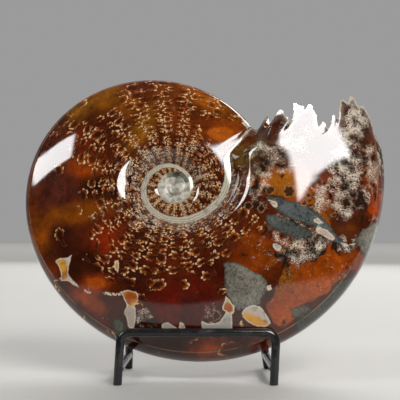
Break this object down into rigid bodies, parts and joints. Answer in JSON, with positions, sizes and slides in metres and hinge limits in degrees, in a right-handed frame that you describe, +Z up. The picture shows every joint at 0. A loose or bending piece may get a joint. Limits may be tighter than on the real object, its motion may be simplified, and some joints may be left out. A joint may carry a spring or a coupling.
{
  "type": "cleoniceras ammonite",
  "caption": "Polished spiral ammonite fossil with a broken, fluted front edge, leaning back in a small stand of bent black rod.",
  "frame": {"origin": "on the floor under the middle of the whole object's bounding box", "axes": "+Z up, +X to the right along the bar of the stand and the width of the disc, +Y towards the back, the way the disc leans"},
  "size_m": [0.1526, 0.0598, 0.1265],
  "materials": {
    "polished_fossil": "polished",
    "black_rod": "gloss"
  },
  "bodies": {
    "root": {"ammonite": "polished_fossil", "front_hoop": "black_rod", "back_hoop": "black_rod", "left_rail": "black_rod", "right_rail": "black_rod"}
  },
  "joints": []
}
